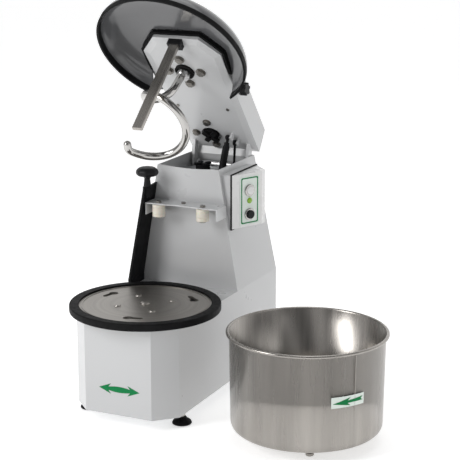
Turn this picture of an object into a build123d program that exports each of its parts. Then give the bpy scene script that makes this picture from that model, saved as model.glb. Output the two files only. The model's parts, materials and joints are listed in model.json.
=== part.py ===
from build123d import *
import os
from math import atan2, ceil, cos, degrees, hypot, pi, radians, sin, tan

# Spiral dough mixer with a lifting head and a removable bowl, built as separate pieces.
# Millimetres.  The pieces are laid out in the machine's own frame: X to the operator's
# right, Y to the back, Z up, with zero on the floor under the turntable's axis.  At the
# end everything moves by ORIGIN, so that zero is the middle of the footprint, on the floor.
# The head's pieces are laid out lowered, and are swung up by OPEN_ANGLE as they are written.

# ---------------------------------------------------------------- driving dimensions
SHEET = 2.0                 # painted steel sheet of the casings
RUN = 0.05                  # radial running clearance of a shaft in its bearing

BASE_HALF = 153.0           # half width of the base
NOSE_Y = -157.0             # front face of the base
CORNER = 54.5               # size of the nose's 45 degree corners
REAR_Y = 531.0              # back of the base
BASE_Z = 31.0               # underside of the base
BASE_TOP = 280.0            # top cover of the base

COL_FRONT = 259.0           # upright front of the column
COL_TOP = 621.0             # rim of the column
COL_TOP_HALF = 95.0         # half width of the column at its rim
COL_TOP_REAR = 500.0        # back of the column at its rim

HINGE_Y = 483.6             # axis that the head lifts about
HINGE_Z = 586.6
OPEN_ANGLE = 48.3           # lift of the head, from lowered to raised

HEAD_BOTTOM = 627.0         # underside of the lowered head
HEAD_TOP = 707.0
HEAD_FRONT = -12.0
HEAD_REAR = 466.0
HEAD_TAIL_TOP = 447.0       # the back of the head leans forwards
HEAD_HALF = 117.0
HEAD_REAR_HALF = 108.0
HEAD_NOSE_HALF = 68.0
HEAD_CORNER = 50.0

SPIRAL_X = -12.0            # axis of the spiral
SPIRAL_Y = 117.0
SPIRAL_R = 75.0             # centre line radius of the spiral
SPIRAL_ROD_R = 11.0
DRIVE_X = -20.0             # axis of the main shaft and of the two dogs
DRIVE_Y = 395.0
MOTOR_X = 60.4              # axis of the motor
MOTOR_Y = 327.5

PLATE_R = 196.0             # turntable
PLATE_TOP = 296.0
PLATE_T = 10.0
RING_R = 204.0
RING_IN = 178.0
RING_TOP = 300.6
LOCK_PCR = 134.0            # circle of the bowl's three locking studs
LOCK_ANGLES = [38.5, 158.5, 278.5]

BOWL_X = 471.4              # the bowl, taken off and stood on the floor
BOWL_Y = -4.2
BOWL_H = 262.0
BOWL_FOOT = 25.0            # length of its studs
BOWL_TOP_R = 201.5
BOWL_LOW_R = 197.0
BOWL_CORNER = 18.0
BOWL_WALL = 1.5
BEAD_R = 4.5
BEAD_C = 205.0

LID_R = 211.4               # dished lid
LID_Z = 588.0
LID_CROWN = 656.0
KNOB_Y = 205.0              # clamping knobs of the lid
KNOB_Z = 650.0

ROLLER_X = 68.0             # nylon rollers that steady the bowl
ROLLER_Y = 213.0
ROLLER_R = 18.0

PANEL_X = 130.0             # front edge of the control box, which is a wedge in plan
PANEL_Y = 272.0
PANEL_LEN = 108.0
PANEL_TURN = 64.0           # direction of its face, from X towards Y
PANEL_LOW = 453.0
PANEL_HIGH = 605.0
PANEL_REAR = 440.0
BUTTON_AT = 62.0            # middle of the buttons, along the face
START_Z = 556.0
STOP_Z = 488.0
LAMP_Z = 527.0

BELT_LOW = 59.0             # mid height of the motor's belt
BELT_HIGH = 87.0            # mid height of the bowl's belt
BELT_HEAD = 687.0           # mid height of the head's belt

SPRING_X = 38.0             # gas spring: ball on the head, pin in the column
SPRING_TOP = (388.0, 615.0)
SPRING_LOW = (345.0, 470.0)
STAY_X = 52.0               # stay rod: pin on the head, guide in the column
STAY_TOP = (413.0, 617.0)
STAY_LOW = (440.0, 480.0)

HEAD_TAIL = hypot(HINGE_Y - HEAD_TAIL_TOP, HEAD_TOP - HINGE_Z)
TAIL_TURN = atan2(HEAD_TOP - HINGE_Z, HEAD_TAIL_TOP - HINGE_Y) - radians(OPEN_ANGLE)
X_RANGE = (-LID_R, BOWL_X + BEAD_C + BEAD_R)
Y_RANGE = (BOWL_Y - BEAD_C - BEAD_R, HINGE_Y + HEAD_TAIL * cos(TAIL_TURN))
ORIGIN = (-sum(X_RANGE) / 2, -sum(Y_RANGE) / 2, 0.0)


# ---------------------------------------------------------------- small helpers
def block(x0, x1, y0, y1, z0, z1):
    """Box between two corners."""
    box = Box(x1 - x0, y1 - y0, z1 - z0)
    return Pos((x0 + x1) / 2, (y0 + y1) / 2, (z0 + z1) / 2) * box


def disc(r, z0, z1, x=0.0, y=0.0):
    """Upright cylinder between two heights."""
    return Pos(x, y, (z0 + z1) / 2) * Cylinder(r, z1 - z0)


def ring(r_out, r_in, z0, z1, x=0.0, y=0.0):
    """Upright tube between two heights."""
    return disc(r_out, z0, z1, x, y) - disc(r_in, z0 - 1, z1 + 1, x, y)


def prism(points, z0, z1):
    """Outline in plan, pulled up between two heights."""
    face = make_face(Polyline(*points, close=True))
    return Pos(0, 0, z0) * extrude(face, amount=z1 - z0)


def side_plate(points, x0, x1):
    """Outline given as (y, z), pulled along X."""
    face = make_face(Polyline(*[(0, y, z) for y, z in points], close=True))
    solid = extrude(face, amount=x1 - x0, dir=(1, 0, 0))
    return Pos(x0, 0, 0) * solid


def turned(points, x=0.0, y=0.0):
    """Outline given as (radius, z), turned about an upright axis."""
    face = make_face(Polyline(*[(r, 0, z) for r, z in points], close=True))
    return Pos(x, y, 0) * revolve(face, Axis.Z, 360)


def rod(r, p, q):
    """Round bar from point p to point q."""
    start = Vector(*p)
    along = Vector(*q) - start
    plane = Plane(origin=start, z_dir=along)
    return extrude(plane * Circle(r), amount=along.length)


def polar(r, angle, x=0.0, y=0.0):
    """Point on a circle in plan."""
    return (x + r * cos(radians(angle)), y + r * sin(radians(angle)))


def group(shapes):
    """Separate solids that share one node."""
    solids = []
    for shape in shapes:
        solids.extend(shape.solids())
    return Compound(children=solids)


def bolt_down(x, y, z, r, head, wash=0.0):
    """Hexagon head with its washer, hanging below the face at height z."""
    hexagon = Pos(x, y, z - wash - head) * extrude(RegularPolygon(r, 6), amount=head)
    if wash == 0:
        return hexagon
    return hexagon + disc(r * 1.25, z - wash, z, x, y)


def lifted(shape):
    """The head's pieces, swung from lowered to raised."""
    return shape.rotate(Axis((0, HINGE_Y, HINGE_Z), (1, 0, 0)), -OPEN_ANGLE)


def lift_point(y, z):
    """Where a point of the lowered head is when the head is raised."""
    turn = radians(OPEN_ANGLE)
    dy = y - HINGE_Y
    dz = z - HINGE_Z
    return (HINGE_Y + dy * cos(turn) + dz * sin(turn), HINGE_Z - dy * sin(turn) + dz * cos(turn))


# ---------------------------------------------------------------- outlines
def base_outline(inset=0.0):
    """Plan of the base, with the corners of its nose cut off."""
    half = BASE_HALF - inset
    front = NOSE_Y + inset
    back = REAR_Y - inset
    cut = CORNER - inset * (2 - 2 ** 0.5)
    return [(-half + cut, front), (half - cut, front), (half, front + cut), (half, back),
            (-half, back), (-half, front + cut)]


def head_outline(inset=0.0, front=None, back=None):
    """Plan of the head: cut corners at the front, sides drawn in a little to the back."""
    nose = HEAD_NOSE_HALF - inset * 0.4
    half = HEAD_HALF - inset
    tail = HEAD_REAR_HALF - inset
    first = (HEAD_FRONT if front is None else front) + inset
    last = (HEAD_REAR if back is None else back) - inset
    corner = first + HEAD_CORNER + 9 - inset * 0.6
    return [(-nose, first), (nose, first), (half, corner), (tail, last), (-tail, last), (-half, corner)]


def column_half(z):
    """Half width of the column at a height."""
    return COL_TOP_HALF + (COL_TOP - z) * (BASE_HALF - COL_TOP_HALF) / (COL_TOP - BASE_TOP)


def column_rear(z):
    """Back of the column at a height."""
    return COL_TOP_REAR + (COL_TOP - z) * (REAR_Y - COL_TOP_REAR) / (COL_TOP - BASE_TOP)


def column_solid(inset, low, high):
    """Tapered block of the column, drawn in by inset, between two heights."""
    faces = []
    for z in (low, high):
        half = column_half(z) - inset
        front = COL_FRONT + inset
        back = column_rear(z) - inset
        corners = [(-half, front, z), (half, front, z), (half, back, z), (-half, back, z)]
        faces.append(make_face(Polyline(*corners, close=True)))
    return loft(faces)


# ---------------------------------------------------------------- casings and frame
def base_shell():
    """Folded casing of the base, open below, with a top cover over the nose."""
    outer = prism(base_outline(), BASE_Z, BASE_TOP)
    inner = prism(base_outline(SHEET), BASE_Z - 1, BASE_TOP - SHEET)
    well = block(-140, 140, COL_FRONT + 6, REAR_Y - 12, BASE_TOP - 5, BASE_TOP + 5)
    back = block(-94, 94, REAR_Y - 5, REAR_Y + 5, 60, BASE_TOP - 12)
    spindle = disc(62, BASE_TOP - 5, BASE_TOP + 5)
    gland = rod(10.2, (-132, REAR_Y - 6, 90), (-132, REAR_Y + 6, 90))
    return outer - inner - well - back - spindle - gland


def column_shell():
    """Tapered casing of the column, open at both ends and behind its rear cover."""
    outer = column_solid(0, BASE_TOP, COL_TOP)
    inner = column_solid(SHEET, BASE_TOP - 0.01, COL_TOP + 0.01)
    shell = outer - inner
    shell -= block(-80, 80, 470, REAR_Y + 20, BASE_TOP + 22, 556)
    shell -= rod(14, (80, 352, 520), (150, 352, 520))
    dip = Pos(0, COL_FRONT, COL_TOP + 746) * Rot(90, 0, 0) * Cylinder(750, 12)
    shell -= block(-56, 56, 480, REAR_Y, COL_TOP - 18, COL_TOP + 5)
    return shell - dip


def rear_cover():
    """Bent cover plate over the back of base and column, with louvres."""
    proud = 1.6
    low = [(REAR_Y + 0.05, 52), (REAR_Y + proud, 52), (REAR_Y + proud, BASE_TOP)]
    high = [(column_rear(568) + proud, 568), (column_rear(568) + 0.05, 568), (REAR_Y + 0.05, BASE_TOP)]
    cover = side_plate(low + high, -90, 90)
    wide = side_plate(low + [(REAR_Y + 0.05, BASE_TOP)], -112, 112)
    cover += wide
    for row in range(9):
        z = 92 + row * 18
        cover -= block(-70, 70, REAR_Y - 5, REAR_Y + 5, z, z + 7)
    return cover


def cover_screws():
    """Button-head screws of the rear cover."""
    screws = []
    for x in (-102, 102):
        for z in (66, 166, 262):
            screws.append(rod(5, (x, REAR_Y + 1.6, z), (x, REAR_Y + 4.4, z)))
    for x in (-82, 82):
        for z in (330, 430, 530):
            y = column_rear(z) + 2.1
            screws.append(rod(5, (x, y, z), (x, y + 2.8, z)))
    return group(screws)


def chassis():
    """Welded frame: floor plate, drive plate, spacer posts and the column's four uprights."""
    floor = prism(base_outline(8), 34, 42)
    for y in (90, 240):
        floor -= block(-70, 70, y - 50, y + 50, 30, 50)
    drive = block(-146, 146, -96, 505, 98, 106)
    drive -= disc(18, 90, 110, DRIVE_X, DRIVE_Y)
    drive -= disc(14, 90, 110, MOTOR_X, MOTOR_Y)
    drive -= disc(70, 90, 110)
    drive -= block(-100, 100, 130, 240, 90, 110)
    members = [floor, drive]
    for x in (-132, 132):
        for y in (-72, 110, 262, 496):
            members.append(disc(9, 42, 98, x, y))
    for y0, top_in, top_out in ((268, 80, 94), (480, 94, 98)):
        foot = [(132, y0), (146, y0), (146, y0 + 14), (132, y0 + 14)]
        head = [(top_in, y0), (top_out, y0), (top_out, y0 + 14), (top_in, y0 + 14)]
        low = make_face(Polyline(*[(px, py, 106) for px, py in foot], close=True))
        high = make_face(Polyline(*[(px, py, 575) for px, py in head], close=True))
        upright = loft([low, high])
        members.append(upright)
        members.append(mirror(upright, about=Plane.YZ))
    return group(members)


def column_crown():
    """Plate inside the column's mouth, with the hinge ears and the brackets of spring and stay."""
    plate = block(-99.2, 99.2, COL_FRONT + 2.2, 501, 575, 583)
    plate -= disc(17, 570, 590, DRIVE_X, DRIVE_Y)
    plate -= block(SPRING_X - 13, SPRING_X + 13, 352, 424, 570, 590)
    plate -= block(SPRING_X - 13, STAY_X + 11, 400, 466, 570, 590)
    plate -= block(-70, 60, 272, 322, 570, 590)
    plate -= block(-94, 94, 470, 497.6, 570, 590)
    for x in (-87, 87):
        plate -= block(x - 7, x + 7, 440, 471, 570, 590)
    for x in (-74, 74):
        ear = side_plate([(462, 573), (500, 573), (500, 583), (496, 586), (471, 586), (466, 583)], x - 4, x + 4)
        ear += rod(13.2, (x - 4, HINGE_Y, HINGE_Z), (x + 4, HINGE_Y, HINGE_Z))
        ear -= rod(10.03, (x - 6, HINGE_Y, HINGE_Z), (x + 6, HINGE_Y, HINGE_Z))
        plate += ear
    y, z = SPRING_LOW
    for x in (SPRING_X - 20, SPRING_X + 14):
        hanger = side_plate([(y - 14, z - 12), (y + 14, z - 12), (y + 14, 575), (y - 14, 575)], x, x + 6)
        plate += hanger
    plate += rod(4, (SPRING_X - 14, y, z), (SPRING_X + 14, y, z))
    y, z = STAY_LOW
    plate += block(STAY_X + 12, STAY_X + 18, y - 14, y + 14, z - 10, 575)
    guide = block(STAY_X - 12, STAY_X + 12, y - 14, y + 14, z - 4, z + 4)
    guide -= block(STAY_X - 5, STAY_X + 5, y - 10, y + 10, z - 5, z + 5)
    return plate + guide


def hinge_pin():
    """Pin that the head turns on."""
    pin = rod(10, (-91.2, HINGE_Y, HINGE_Z), (91.2, HINGE_Y, HINGE_Z))
    caps = rod(11.3, (-93.7, HINGE_Y, HINGE_Z), (-91.2, HINGE_Y, HINGE_Z))
    return pin + caps + rod(11.3, (91.2, HINGE_Y, HINGE_Z), (93.7, HINGE_Y, HINGE_Z))


FOOT_SPOTS = [(-140, -64), (140, -64), (-136, 484), (136, 484)]


def rubber_feet():
    """Conical rubber feet."""
    cone = [(0, 0), (25, 0), (27, 3), (24, 9), (13, 16), (13, 19), (0, 19)]
    return group([turned(cone, x, y) for x, y in FOOT_SPOTS])


def foot_studs():
    """Threaded studs and lock nuts that carry the feet."""
    studs = []
    for x, y in FOOT_SPOTS:
        stud = disc(6, 19, 34, x, y)
        nut = Pos(x, y, 24) * extrude(RegularPolygon(11, 6), amount=7)
        studs.append(stud + nut)
    return group(studs)


REST_X = -column_half(560) + 5
REST_Y = 207.0


def lock_post():
    """Black side cheek on the column's left edge, with the boss that takes the rest knob."""
    outline = [(COL_FRONT, 298), (176, 296), (188, 563), (COL_FRONT, 570)]
    faces = []
    for inset in (0.5, 7):
        corners = [(inset - column_half(z), y, z) for y, z in outline]
        faces.append(make_face(Polyline(*corners, close=True)))
    cheek = loft(faces)
    foot = block(-column_half(290) + 1, -column_half(290) + 9, 178, COL_FRONT, BASE_TOP, 299)
    boss = disc(13, 540, 566, REST_X, REST_Y) - disc(6, 539, 570, REST_X, REST_Y)
    hole = disc(6, 539, 570, REST_X, REST_Y)
    return cheek + foot + boss - hole


def rest_knob():
    """Mushroom knob on a tapered screw, turned to set the height at which the head rests."""
    shape = [(0, 545), (5.9, 545), (5.9, 566.2), (11, 566.2), (8, 590), (12, 596), (28, 599), (32, 605),
             (31, 613), (24, 621), (10, 624), (0, 624)]
    return turned(shape, REST_X, REST_Y)


# ---------------------------------------------------------------- bowl guide
def roller_bracket():
    """Bent plate ahead of the column that carries the two bowl rollers."""
    top = prism([(-103, 198), (118, 198), (118, COL_FRONT), (-103, COL_FRONT)], 520, 523)
    hollow = Pos(0, 0, 515) * extrude(Circle(203), amount=12)
    top -= hollow
    for x in (-103, 115):
        top += block(x, x + 3, 198, COL_FRONT, 489, 522)
    top += block(-103, 118, COL_FRONT - 3, COL_FRONT, 496, 522)
    for x in (-ROLLER_X, ROLLER_X):
        top -= disc(4.05, 510, 530, x, ROLLER_Y)
    return top


def roller(x):
    """Nylon roller with a bored centre and two shallow grooves."""
    body = ring(ROLLER_R, 4 + RUN, 484, 519, x, ROLLER_Y)
    for z in (492, 509):
        body -= ring(ROLLER_R + 1, ROLLER_R - 1.2, z, z + 2, x, ROLLER_Y)
    return body


def roller_pins():
    """Bolts that the rollers turn on."""
    pins = []
    for x in (-ROLLER_X, ROLLER_X):
        pin = disc(4, 481, 523, x, ROLLER_Y) + disc(9, 480, 483.8, x, ROLLER_Y)
        head = Pos(x, ROLLER_Y, 523) * extrude(RegularPolygon(8, 6), amount=5)
        pins.append(pin + head)
    pins.append(Pos(0, 231, 523) * extrude(RegularPolygon(7, 6), amount=4))
    return group(pins)


# ---------------------------------------------------------------- controls
FACE_ALONG = (cos(radians(PANEL_TURN)), sin(radians(PANEL_TURN)))
FACE_OUT = (sin(radians(PANEL_TURN)), -cos(radians(PANEL_TURN)))


def face_point(along, out, z):
    """Point on the control box's face: distance along it, distance out of it, and height."""
    x = PANEL_X + FACE_ALONG[0] * along + FACE_OUT[0] * out
    y = PANEL_Y + FACE_ALONG[1] * along + FACE_OUT[1] * out
    return (x, y, z)


def on_face(shape, along, z):
    """Shape built round +Z, turned so that +Z points out of the control box's face."""
    return Pos(*face_point(along, 0, z)) * Rot(0, 0, PANEL_TURN - 90) * Rot(0, 90, 0) * shape


def control_box():
    """Wedge-shaped switch box that turns its face towards the operator, hollow and open behind."""
    far = face_point(PANEL_LEN, 0, 0)
    plan = [(PANEL_X, PANEL_Y), far[:2], (far[0], far[1] + 22), (PANEL_X, PANEL_REAR)]
    hollow = [face_point(13, -3, 0)[:2], face_point(PANEL_LEN - 3, -3, 0)[:2],
              (far[0] - 4, far[1] + 21), (PANEL_X + 3, PANEL_REAR - 8)]
    outer = prism(plan, PANEL_LOW, PANEL_HIGH)
    outer = fillet(outer.edges().filter_by(Axis.Z).sort_by(Axis.X)[-2:], 5)
    box = outer - prism(hollow, PANEL_LOW + 3, PANEL_HIGH - 3)
    box -= block(PANEL_X - 1, PANEL_X + 4, PANEL_Y + 16, PANEL_REAR - 10, PANEL_LOW + 8, PANEL_HIGH - 8)
    for z, r in ((START_Z, 15), (STOP_Z, 15), (LAMP_Z, 7)):
        box -= on_face(disc(r, -8, 4), BUTTON_AT, z)
    return box


def control_gasket():
    """Black sealing frame between the box and its mount."""
    outer = block(PANEL_X - 4, PANEL_X, PANEL_Y - 3, PANEL_REAR + 3, PANEL_LOW - 3, PANEL_HIGH + 3)
    return outer - block(PANEL_X - 5, PANEL_X + 1, PANEL_Y + 16, PANEL_REAR - 10, PANEL_LOW + 8, PANEL_HIGH - 8)


def control_mount():
    """Hollow foot between the leaning side of the column and the box."""
    front = PANEL_Y - 1
    outline = [(column_half(PANEL_LOW) + 0.1, 0, PANEL_LOW), (PANEL_X - 4, 0, PANEL_LOW),
               (PANEL_X - 4, 0, PANEL_HIGH), (column_half(PANEL_HIGH) + 0.1, 0, PANEL_HIGH)]
    body = extrude(make_face(Polyline(*outline, close=True)), amount=PANEL_REAR - front, dir=(0, 1, 0))
    body = Pos(0, front, 0) * body
    return body - block(80, 160, PANEL_Y + 16, PANEL_REAR - 10, PANEL_LOW + 10, PANEL_HIGH - 8)


def control_label():
    """Thin label plate on the box's face."""
    outline = [face_point(27, 0, 0)[:2], face_point(98, 0, 0)[:2], face_point(98, 0.8, 0)[:2],
               face_point(27, 0.8, 0)[:2]]
    label = prism(outline, 459, 597)
    for z, r in ((START_Z, 17.2), (STOP_Z, 17.2), (LAMP_Z, 8.4)):
        label -= on_face(disc(r, -2, 3), BUTTON_AT, z)
    return label


def switch_collars():
    """Bezel rings of the two push buttons."""
    profile = [(12.4, -14), (14.9, -14), (14.9, 0), (17, 0), (17, 4), (16, 5), (12.4, 5)]
    return group([on_face(turned(profile), BUTTON_AT, z) for z in (START_Z, STOP_Z)])


def push_button(z, proud):
    """Round button in its bezel."""
    profile = [(0, -11), (12, -11), (12, proud - 1.2), (10.8, proud), (0, proud)]
    return on_face(turned(profile), BUTTON_AT, z)


def pilot_lamp():
    """Domed indicator lamp."""
    shape = [(0, -12), (6.8, -12), (6.8, 0), (8.2, 0), (8.2, 2.5), (7.4, 2.5), (6.2, 5), (3.6, 6.6), (0, 7.2)]
    return on_face(turned(shape), BUTTON_AT, LAMP_Z)


def cable_gland():
    """Threaded gland where the supply lead enters the back of the base."""
    body = rod(10, (-132, REAR_Y - 8, 90), (-132, REAR_Y + 2, 90))
    cap = rod(13, (-132, REAR_Y, 90), (-132, REAR_Y + 16, 90))
    nut = rod(14, (-132, REAR_Y - 8, 90), (-132, REAR_Y - SHEET, 90))
    return body + cap + nut - rod(5, (-132, REAR_Y - 10, 90), (-132, REAR_Y + 20, 90))


# ---------------------------------------------------------------- drive in the column
def pulley(r, mid, x, y, bore):
    """Grooved belt pulley."""
    rim = [(bore, mid - 8), (r, mid - 8), (r, mid - 5), (r - 8, mid - 2), (r - 8, mid + 2), (r, mid + 5),
           (r, mid + 8), (bore, mid + 8)]
    wheel = turned(rim, x, y)
    if r > 60:
        recess = ring(r - 18, bore + 16, mid + 3, mid + 9, x, y)
        wheel -= recess
        for k in range(5):
            px, py = polar((r + bore) / 2 - 1, 72 * k, x, y)
            wheel -= disc(9, mid - 10, mid + 10, px, py)
    return wheel


def belt(mid, first, second, gap=0.6):
    """V-belt round two pulleys, each given as (x, y, rim radius)."""
    def loop(grow):
        circles = []
        for x, y, r in (first, second):
            circles.append((x, y, r - 7.4 + gap + grow))
        (x1, y1, r1), (x2, y2, r2) = circles
        span = hypot(x2 - x1, y2 - y1)
        heading = atan2(y2 - y1, x2 - x1)
        lean = pi / 2 + atan2(r2 - r1, (span ** 2 - (r2 - r1) ** 2) ** 0.5)
        points = []
        for side in (1, -1):
            angle = heading + side * lean
            points.append(((x1 + r1 * cos(angle), y1 + r1 * sin(angle)),
                           (x2 + r2 * cos(angle), y2 + r2 * sin(angle))))
        (a1, a2), (b1, b2) = points
        far2 = (x2 + r2 * cos(heading), y2 + r2 * sin(heading))
        far1 = (x1 - r1 * cos(heading), y1 - r1 * sin(heading))
        outline = [Line(a1, a2), ThreePointArc(a2, far2, b2), Line(b2, b1), ThreePointArc(b1, far1, a1)]
        return make_face(Curve() + outline)

    band = extrude(loop(6.4), amount=4) - extrude(loop(0), amount=4)
    return Pos(0, 0, mid - 2) * band


MOTOR_PULLEY_R = 24.0
MAIN_PULLEY_R = 72.0
BOWL_PULLEY_R = 34.0
REDUCER_PULLEY_R = 90.0
HEAD_PULLEY_R = 26.0
SPIRAL_PULLEY_R = 78.0


def motor_housing():
    """Finned motor body on its flange, hollow round the rotor."""
    body = disc(60, 112, 262, MOTOR_X, MOTOR_Y)
    for k in range(24):
        fin = block(58, 67, -1.4, 1.4, 118, 256)
        body += Pos(MOTOR_X, MOTOR_Y, 0) * Rot(0, 0, 15 * k) * fin
    body += disc(68, 106, 114, MOTOR_X, MOTOR_Y)
    box = block(MOTOR_X + 60, MOTOR_X + 84, MOTOR_Y - 34, MOTOR_Y + 34, 170, 232)
    body += box
    body -= disc(44, 120, 250, MOTOR_X, MOTOR_Y)
    body -= disc(9.5 + RUN, 100, 300, MOTOR_X, MOTOR_Y)
    return group([body, fan_cover()])


def fan_cover():
    """Cap over the motor's fan, with slots."""
    cap = disc(60, 262, 306, MOTOR_X, MOTOR_Y) - disc(57.5, 261, 303, MOTOR_X, MOTOR_Y)
    for k in range(12):
        slot = block(20, 48, -3, 3, 300, 310)
        cap -= Pos(MOTOR_X, MOTOR_Y, 0) * Rot(0, 0, 30 * k) * slot
    return cap


def motor_rotor():
    """Motor shaft with its rotor, cooling fan and pulley."""
    shaft = disc(9.5, 49, 292, MOTOR_X, MOTOR_Y)
    shaft += disc(42, 135, 238, MOTOR_X, MOTOR_Y)
    shaft += disc(16, 268, 290, MOTOR_X, MOTOR_Y)
    for k in range(6):
        blade = block(12, 50, -1.5, 1.5, 270, 288)
        shaft += Pos(MOTOR_X, MOTOR_Y, 0) * Rot(0, 0, 60 * k) * blade
    return group([shaft, pulley(MOTOR_PULLEY_R, BELT_LOW, MOTOR_X, MOTOR_Y, 9.5)])


def main_shaft():
    """Upright shaft that drives the bowl below and the head above."""
    return disc(15, 48, 586, DRIVE_X, DRIVE_Y) + disc(19, 138, 146, DRIVE_X, DRIVE_Y)


def main_pulleys():
    """The driven pulley and the small pulley of the bowl's belt, on the main shaft."""
    big = pulley(MAIN_PULLEY_R, BELT_LOW, DRIVE_X, DRIVE_Y, 15)
    small = pulley(BOWL_PULLEY_R, BELT_HIGH, DRIVE_X, DRIVE_Y, 15)
    return group([big, small])


def drive_belts():
    """The motor's belt and the bowl's belt."""
    low = belt(BELT_LOW, (MOTOR_X, MOTOR_Y, MOTOR_PULLEY_R), (DRIVE_X, DRIVE_Y, MAIN_PULLEY_R))
    high = belt(BELT_HIGH, (DRIVE_X, DRIVE_Y, BOWL_PULLEY_R), (0, 0, REDUCER_PULLEY_R))
    return group([low, high])


def cabinet_bearings():
    """Flanged bearings of the main shaft and the pair in the turntable's housing."""
    low = ring(34, 15 + RUN, 106, 130, DRIVE_X, DRIVE_Y)
    high = ring(36, 15 + RUN, 555, 575, DRIVE_X, DRIVE_Y)
    lower = ring(44, 22 + RUN, 190, 210)
    upper = ring(44, 22 + RUN, 244, 264)
    return group([low, high, lower, upper])


def spindle_housing():
    """Cast housing that carries the turntable's bearings."""
    shape = [(44, 180), (44, 270), (58, 270), (58, 196), (84, 186), (84, 176), (50, 176), (50, 180)]
    housing = turned(shape)
    for k in range(4):
        leg = block(67, 84, -6, 6, 106, 178)
        housing += Rot(0, 0, 45 + 90 * k) * leg
    return housing


def bowl_reducer():
    """In-line reduction gear under the turntable, as a closed casing."""
    casing = disc(66, 106, 172) + disc(58, 100, 106)
    casing -= disc(22.4, 155, 175)
    casing -= disc(10 + RUN, 90, 115)
    casing -= disc(56, 112, 160)
    for k in range(8):
        px, py = polar(66, 22.5 + 45 * k)
        casing += disc(5, 106, 172, px, py)
    return casing


def reducer_input():
    """Pulley and stub shaft that feed the reduction gear."""
    wheel = pulley(REDUCER_PULLEY_R, BELT_HIGH, 0, 0, 10)
    return wheel + disc(10, 76, 124)


def dog(z, up, x=DRIVE_X, y=DRIVE_Y):
    """Dog of the coupling between column and head: a hub with four claws."""
    hub = disc(21, z - 16, z, x, y) if up else disc(21, z, z + 12, x, y)
    for k in range(4):
        turn = 45 + 90 * k
        claw = block(6, 24, -5.5, 5.5, z, z + 7) if up else block(4, 27, -7, 7, z - 7, z)
        hub += Pos(x, y, 0) * Rot(0, 0, turn) * claw
    return hub


# ---------------------------------------------------------------- turntable
def turntable_plate():
    """Round plate with three bayonet slots and a raised locating lip."""
    plate = disc(PLATE_R, PLATE_TOP - PLATE_T, PLATE_TOP)
    plate += ring(171, 168, PLATE_TOP, PLATE_TOP + 1.2)
    for angle in LOCK_ANGLES:
        px, py = polar(LOCK_PCR, angle)
        plate -= disc(13, 280, 300, px, py)
        for step in range(1, 8):
            px, py = polar(LOCK_PCR, angle + 2 * step)
            plate -= disc(7.5, 280, 300, px, py)
    return plate


def turntable_ring():
    """Rubber edge ring of the turntable."""
    profile = [(RING_IN, PLATE_TOP), (RING_IN + 1, RING_TOP - 1), (RING_IN + 3, RING_TOP), (RING_R - 4, RING_TOP),
               (RING_R, RING_TOP - 4), (RING_R, 282.5), (RING_R - 2, 281), (PLATE_R, 281),
               (PLATE_R, PLATE_TOP)]
    return turned(profile)


def turntable_spindle():
    """Flanged spindle under the plate."""
    profile = [(0, 150), (18, 150), (22, 156), (22, 272), (30, 276), (58, 281), (92, 281), (92, 286), (0, 286)]
    return turned(profile)


def turntable_bolts():
    """Centre cap and the four bolts that hold the plate to its spindle."""
    cap = turned([(0, PLATE_TOP), (13, PLATE_TOP), (12, PLATE_TOP + 3.5), (6, PLATE_TOP + 5), (0, PLATE_TOP + 5)])
    heads = [cap]
    for k in range(4):
        px, py = polar(76, 42 + 90 * k)
        heads.append(turned([(0, PLATE_TOP), (9, PLATE_TOP), (7, PLATE_TOP + 3), (0, PLATE_TOP + 3.4)], px, py))
    return group(heads)


# ---------------------------------------------------------------- bowl
def bowl():
    """Straight-sided steel bowl with a rolled rim."""
    def profile(inset, top):
        low_r = BOWL_LOW_R - inset
        top_r = BOWL_TOP_R - inset
        corner = BOWL_CORNER - inset
        base = BOWL_FOOT + inset
        bend = 1 - cos(pi / 4)
        lines = [Line((0, 0, base), (low_r - corner, 0, base)),
                 ThreePointArc((low_r - corner, 0, base),
                               (low_r - corner * bend, 0, base + corner * bend),
                               (low_r, 0, base + corner)),
                 Line((low_r, 0, base + corner), (top_r, 0, top)),
                 Line((top_r, 0, top), (0, 0, top)),
                 Line((0, 0, top), (0, 0, base))]
        return make_face(Curve() + lines)

    top = BOWL_FOOT + BOWL_H - BEAD_R
    outer = revolve(profile(0, top), Axis.Z, 360)
    inner = revolve(profile(BOWL_WALL, top + 0.01), Axis.Z, 360)
    bead = Pos(0, 0, top) * Torus(BEAD_C, BEAD_R)
    hollow = disc(BOWL_TOP_R - BOWL_WALL, top - 8, top + 8)
    return Pos(BOWL_X, BOWL_Y, 0) * (outer - inner + (bead - hollow))


def bowl_studs():
    """Three headed studs that lock the bowl into the turntable and carry it on the floor."""
    shape = [(0, 0), (9, 0), (11, 2), (11, 8), (6.5, 9), (6.5, 22), (17, 22.5), (17, 25), (0, 25)]
    studs = []
    for angle in (-64, 56, 176):
        px, py = polar(LOCK_PCR, angle, BOWL_X, BOWL_Y)
        studs.append(turned(shape, px, py))
    return group(studs)


# ---------------------------------------------------------------- head
def head_plate():
    """Underside of the head, with a sloping border and holes for spiral and dog."""
    low = make_face(Polyline(*[(x, y, HEAD_BOTTOM) for x, y in head_outline(20)], close=True))
    high = make_face(Polyline(*[(x, y, HEAD_BOTTOM + 5) for x, y in head_outline(0)], close=True))
    plate = loft([low, high]) + prism(head_outline(0), HEAD_BOTTOM + 5, HEAD_BOTTOM + 9)
    plate -= disc(24, 620, 640, SPIRAL_X, SPIRAL_Y)
    return plate - disc(30, 620, 640, DRIVE_X, DRIVE_Y)


def tail_cut(inset):
    """What the leaning back of the head leaves out of its block."""
    y = HEAD_REAR - inset
    top = HEAD_TAIL_TOP - inset
    return side_plate([(y + 0.01, HEAD_BOTTOM + 9), (y + 30, HEAD_BOTTOM + 9), (y + 30, HEAD_TOP + 20),
                       (top - 5, HEAD_TOP + 20), (top, HEAD_TOP)], -150, 150)


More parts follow.
